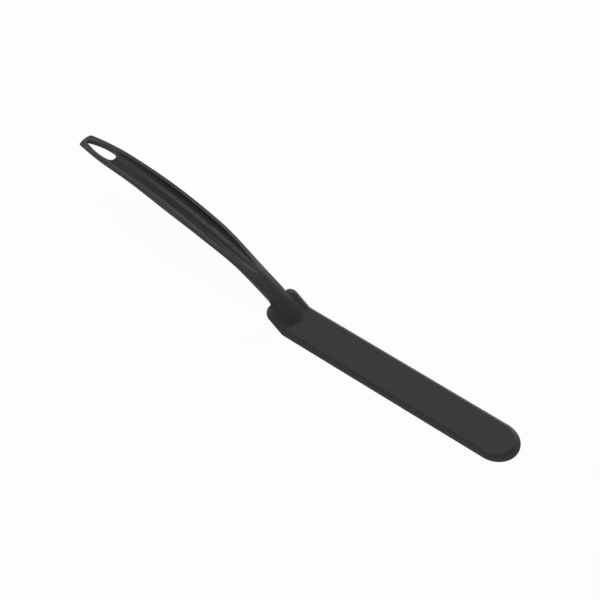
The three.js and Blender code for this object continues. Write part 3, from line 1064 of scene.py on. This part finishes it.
def grip_mesh(tool):
    """The grip as a thin liner: the scoop's floor above, the pocket below, with room for the grain."""
    gap = tool.grip.gap
    start = tool.scoop.start + tool.grip.lead + gap
    end = grip_end(tool) - gap
    stations = spread(start, end, round((end - start) / tool.grip.spacing))
    across = [math.sin(turn) for turn in spread(-math.pi / 2, math.pi / 2, GRIP_COLUMNS)]
    points = []
    grain = []
    for upper in (True, False):
        for r, station in enumerate(stations):
            grained = upper and 0 < r < len(stations) - 1
            edge = row_edge(tool, station)[1] - tool.handle.wall_draft - gap
            for part in across:
                y = part * edge
                place = row_place(tool, station, abs(y))
                hollow = max(scoop_hollow(tool, place, y), rim_drop(tool, place))
                thickness = 0 if upper else tool.grip.fill * pocket_depth(tool, place)
                points.append((place, y, top_height(tool, place, y) - hollow - thickness))
                inside = min((edge - abs(y)) / tool.grip.grain_fade, 1.0)
                deep = min(scoop_floor(tool, place) / tool.grip.grain_depth, 1.0)
                grain.append(inside * deep if grained else 0.0)
    wide = len(across)
    below = wide * len(stations)
    faces = []
    for r in range(len(stations) - 1):
        for c in range(GRIP_COLUMNS):
            a = r * wide + c
            quad = (a, a + 1, a + wide + 1, a + wide)
            faces.append(quad)
            faces.append(tuple(below + i for i in reversed(quad)))
    rim = list(range(wide))
    rim += [r * wide + wide - 1 for r in range(1, len(stations))]
    rim += list(range(below - 2, below - wide - 1, -1))
    rim += [r * wide for r in range(len(stations) - 2, 0, -1)]
    for a, b in zip(rim, rim[1:] + rim[:1]):
        faces.append((a, b, below + b, below + a))
    return closed_mesh("grip", points, faces, {"grain": grain})


# Finishes

class Finish:
    """A procedural material on Object coordinates, with a Principled shader."""

    def __init__(self, name):
        self.material = bpy.data.materials.new(name)
        self.material.use_nodes = True
        self.tree = self.material.node_tree
        self.shader = self.tree.nodes["Principled BSDF"]
        self.where = add_node(self.tree, "ShaderNodeTexCoord").outputs["Object"]

    def noise(self, feature, detail):
        """A noise whose features are about the given length."""
        inputs = {"Vector": self.where, "Scale": 1 / feature, "Detail": detail}
        return add_node(self.tree, "ShaderNodeTexNoise", inputs).outputs[0]

    def ranged(self, value, source, target):
        """A value whose source range, as (low, high), is turned into a target range."""
        inputs = enumerate((value, *source, *target))
        return add_node(self.tree, "ShaderNodeMapRange", inputs).outputs[0]

    def marked(self, attribute, value):
        """A value times a point attribute of the mesh."""
        mark = add_node(self.tree, "ShaderNodeAttribute", attribute_name=attribute).outputs["Fac"]
        return add_node(self.tree, "ShaderNodeMath", {0: mark, 1: value}, operation="MULTIPLY").outputs[0]

    def mixed(self, factor, one, two):
        """A colour between two. The node's inputs 6 and 7 are its colours, and its output 2 is their mix."""
        inputs = {"Factor": factor, 6: one, 7: two}
        return add_node(self.tree, "ShaderNodeMix", inputs, data_type="RGBA").outputs[2]

    def bump(self, height, strength, depth):
        inputs = {"Height": height, "Strength": strength, "Distance": depth}
        return add_node(self.tree, "ShaderNodeBump", inputs).outputs[0]

    def link(self, value, label):
        self.tree.links.new(value, self.shader.inputs[label])


def nylon_finish(look):
    """Satin moulded nylon: fine mould texture, cloudy gloss, and a paler colour along scuffed edges and along
    the handle's painted highlight lines.
    """
    made = bpy.data.materials.get("Moulded nylon")
    if made:
        return made
    finish = Finish("Moulded nylon")
    clouds = finish.noise(look.cloud_size, detail=3.0)
    # Paler where the mesh is marked: scuffed edges, and the painted highlights along the handle's rims and in
    # the slot's valley.
    rubbed_and_lit = finish.marked("edge_wear_and_highlight", finish.ranged(clouds, (0.35, 0.7), (0.4, 0.7)))
    body = finish.mixed(finish.ranged(clouds, (0.3, 0.8), (0.0, 0.06)), look.nylon, look.nylon_worn_and_lit)
    finish.link(finish.mixed(rubbed_and_lit, body, look.nylon_worn_and_lit), "Base Color")
    gloss = finish.noise(look.gloss_size, detail=4.0)
    finish.link(finish.ranged(gloss, (0.3, 0.7), (look.nylon_smooth, look.nylon_dull)), "Roughness")
    texture = finish.noise(look.texture_size, detail=2.0)
    finish.link(finish.bump(texture, strength=0.06, depth=look.texture_depth), "Normal")
    finish.shader.inputs["Specular IOR Level"].default_value = look.nylon_gloss
    return finish.material


def grip_finish(look):
    """Soft grip with a pebbled grain, dull in its hollows."""
    finish = Finish("Soft grip")
    pebbles = finish.noise(look.pebble_size, detail=2.0)
    high = finish.ranged(pebbles, (0.35, 0.75), (0.0, 0.8))
    finish.link(finish.mixed(high, look.grip, look.grip_worn), "Base Color")
    finish.link(finish.ranged(pebbles, (0.3, 0.7), (look.grip_dull, look.grip_smooth)), "Roughness")
    finish.link(finish.bump(pebbles, strength=0.3, depth=look.pebble_depth), "Normal")
    finish.shader.inputs["Specular IOR Level"].default_value = look.grip_gloss
    return finish.material


# Operators

class SPATULA_OT_blade(Operator):
    """Build the blade: a flat plate with a hollowed bevel, whose heel is then rolled up"""

    bl_idname = "spatula.blade"
    bl_label = "Blade"

    def execute(self, context):
        tool = context.scene.spatula
        material = nylon_finish(tool.finish)
        blade = shape_piece("blade_visual", plate_mesh(tool.blade), material, [heel_rule(tool)])
        keep_piece(blade, "blade")
        return {"FINISHED"}


class SPATULA_OT_handle(Operator):
    """Build the handle straight, with its scoop and slot, and curl it onto its arch"""

    bl_idname = "spatula.handle"
    bl_label = "Handle"

    def execute(self, context):
        tool = context.scene.spatula
        material = nylon_finish(tool.finish)
        handle = shape_piece("handle_visual", handle_mesh(tool), material, [arch_rule(tool)])
        keep_piece(handle, "handle")
        return {"FINISHED"}


class SPATULA_OT_grip(Operator):
    """Build the grained grip in the scoop and curl it onto the handle's arch"""

    bl_idname = "spatula.grip"
    bl_label = "Grip"

    def execute(self, context):
        tool = context.scene.spatula
        material = grip_finish(tool.finish)
        grip = shape_piece("grip_visual", grip_mesh(tool), material, [grain_rule(tool), arch_rule(tool)])
        keep_piece(grip, "grip_insert")
        return {"FINISHED"}


def seen_white(tree):
    """A node output that is 1 on the rays of the camera, of gloss and of glass, and 0 on all others."""
    path = add_node(tree, "ShaderNodeLightPath")
    seen = path.outputs["Is Camera Ray"]
    for label in ("Is Glossy Ray", "Is Transmission Ray"):
        either = {0: seen, 1: path.outputs[label]}
        seen = add_node(tree, "ShaderNodeMath", either, operation="MAXIMUM").outputs[0]
    return seen


def mix_shaders(tree, share_of_two, one, two, end):
    """Mixes two shader nodes into a tree's end node."""
    mix = add_node(tree, "ShaderNodeMixShader", {0: share_of_two, 1: one.outputs[0], 2: two.outputs[0]})
    tree.links.new(mix.outputs[0], tree.nodes[end].inputs["Surface"])


def white_room(stage):
    """A room that the camera, gloss and glass see as white, and that adds a little light of its own."""
    world = bpy.data.worlds.new("White room")
    world.use_nodes = True
    tree = world.node_tree
    room = tree.nodes["Background"]
    room.inputs["Color"].default_value = WHITE
    room.inputs["Strength"].default_value = stage.sky
    white = add_node(tree, "ShaderNodeBackground", {"Color": WHITE, "Strength": 1.0})
    mix_shaders(tree, seen_white(tree), room, white, "World Output")
    return world


def floor_finish(stage):
    """White floor that is seen close to plain white, with a soft trace of the shadow."""
    material = bpy.data.materials.new("White floor")
    material.use_nodes = True
    tree = material.node_tree
    shader = tree.nodes["Principled BSDF"]
    shader.inputs["Base Color"].default_value = stage.white
    shader.inputs["Roughness"].default_value = 0.9
    shader.inputs["Specular IOR Level"].default_value = 0.0
    glow = add_node(tree, "ShaderNodeEmission", {"Strength": 1.0})
    plain = {0: seen_white(tree), 1: 1 - stage.shadow}
    seen = add_node(tree, "ShaderNodeMath", plain, operation="MULTIPLY").outputs[0]
    mix_shaders(tree, seen, shader, glow, "Material Output")
    return material


def add_floor(stage):
    """A wide flat floor just below the blade."""
    half = stage.floor / 2
    level = -stage.floor_gap
    mesh = bpy.data.meshes.new("floor")
    corners = [(-half, -half, level), (half, -half, level), (half, half, level), (-half, half, level)]
    mesh.from_pydata(corners, [], [(0, 1, 2, 3)])
    mesh.materials.append(floor_finish(stage))
    floor = bpy.data.objects.new("floor", mesh)
    bpy.context.scene.collection.objects.link(floor)


def add_lamp(stage, name, level, azimuth, elevation, shine=True):
    """A round soft lamp. Azimuths in degrees count from the front, -Y, towards the blade's tip, +X.
    A lamp without shine lights the spatula but isn't mirrored in it.
    """
    turn = math.radians(azimuth)
    rise = math.radians(elevation)
    towards = Vector((math.sin(turn) * math.cos(rise), -math.cos(turn) * math.cos(rise), math.sin(rise)))
    light = bpy.data.lights.new(name, "AREA")
    light.shape = "DISK"
    light.size = stage.lamp_width
    light.energy = level * math.pi ** 2 * stage.lamp_distance ** 2
    lamp = bpy.data.objects.new(name, light)
    lamp.location = (CAD_BOX[0] + CAD_BOX[1]) / 2 + towards * stage.lamp_distance
    lamp.rotation_euler = towards.to_track_quat("Z", "Y").to_euler()
    lamp.visible_glossy = shine
    bpy.context.scene.collection.objects.link(lamp)


def add_camera(stage):
    """The camera of the photo, which looks down on the blade from in front of it."""
    lens = bpy.data.cameras.new("camera")
    lens.sensor_width = SENSOR_WIDTH
    lens.lens = stage.lens
    camera = bpy.data.objects.new("camera", lens)
    camera.location = CAMERA_PLACE
    camera.rotation_euler = (CAMERA_TILT, 0.0, CAMERA_TURN)
    bpy.context.scene.collection.objects.link(camera)
    bpy.context.scene.camera = camera


class SPATULA_OT_stage(Operator):
    """Set up the white floor and room, the soft lamps and the camera"""

    bl_idname = "spatula.stage"
    bl_label = "Stage"

    def execute(self, context):
        stage = context.scene.spatula.stage
        context.scene.view_settings.view_transform = "Standard"
        context.scene.world = white_room(stage)
        add_floor(stage)
        add_lamp(stage, "top lamp", stage.top, azimuth=0, elevation=84)
        add_lamp(stage, "back lamp", stage.back, azimuth=180, elevation=24)
        add_lamp(stage, "front lamp", stage.front, azimuth=10, elevation=24, shine=False)
        add_lamp(stage, "side lamp", stage.side, azimuth=255, elevation=48)
        add_camera(stage)
        return {"FINISHED"}


class SPATULA_PT_panel(Panel):
    """Lists the spatula's pieces and their settings"""

    bl_idname = "SPATULA_PT_panel"
    bl_label = "Nylon Spatula"
    bl_space_type = "VIEW_3D"
    bl_region_type = "UI"
    bl_category = "Spatula"

    def draw(self, context):
        for operator in OPERATORS:
            self.layout.operator(operator.bl_idname)
        for label in SpatulaSettings.__annotations__:
            box = self.layout.box()
            box.label(text=label.capitalize())
            group = getattr(context.scene.spatula, label)
            for name in group.__annotations__:
                box.prop(group, name)


OPERATORS = (SPATULA_OT_blade, SPATULA_OT_handle, SPATULA_OT_grip, SPATULA_OT_stage)
CLASSES = (
    BladeSettings, HandleSettings, SlotSettings, ScoopSettings, GripSettings, FinishSettings, StageSettings,
    SpatulaSettings, *OPERATORS, SPATULA_PT_panel,
)
register_classes, unregister_classes = bpy.utils.register_classes_factory(CLASSES)


def register():
    """Registers the classes and gives each scene the spatula's settings."""
    register_classes()
    bpy.types.Scene.spatula = PointerProperty(type=SpatulaSettings)


def unregister():
    """Takes the settings and the classes away again."""
    del bpy.types.Scene.spatula
    unregister_classes()


def main():
    """Builds the spatula and its stage."""
    register()
    bpy.ops.spatula.blade()
    bpy.ops.spatula.handle()
    bpy.ops.spatula.grip()
    bpy.ops.spatula.stage()


if __name__ == "__main__":
    main()
